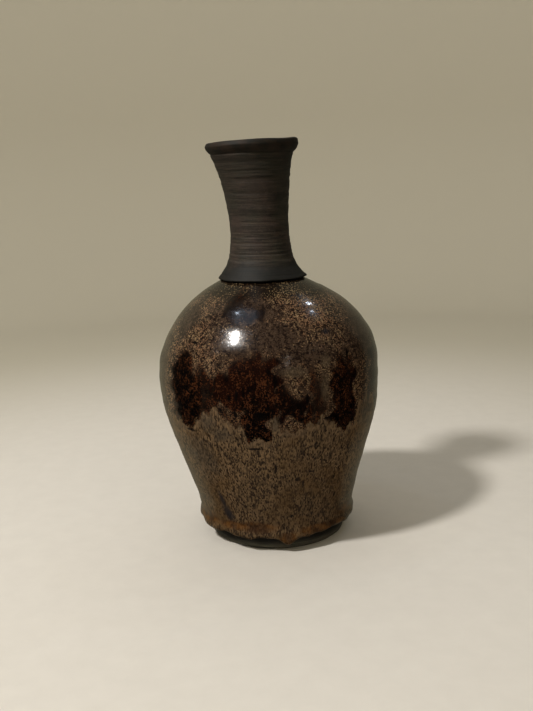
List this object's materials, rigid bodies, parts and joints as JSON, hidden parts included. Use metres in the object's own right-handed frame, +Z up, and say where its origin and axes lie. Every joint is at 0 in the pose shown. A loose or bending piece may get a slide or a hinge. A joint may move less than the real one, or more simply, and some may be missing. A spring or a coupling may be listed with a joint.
{
  "type": "sake bottle",
  "caption": "Wheel-thrown stoneware sake bottle: a round body under a rolled, dripping brown glaze, with a bare trumpet neck luted on top.",
  "frame": {"origin": "on the surface the bottle stands on, under the middle of the belly (bottom centre of the bounding box)", "axes": "+Z up along the bottle, -Y towards the front with the largest glaze run, +X to the right"},
  "size_m": [0.1358, 0.1358, 0.2411],
  "materials": {
    "clay": "matte",
    "neck_clay": "matte",
    "iron_glaze": "gloss",
    "liner_glaze": "gloss"
  },
  "bodies": {
    "root": {"stoneware_body": "clay", "outer_glaze": "iron_glaze", "liner_glaze": "liner_glaze", "luting_ring": "clay", "neck": "neck_clay"}
  },
  "joints": []
}
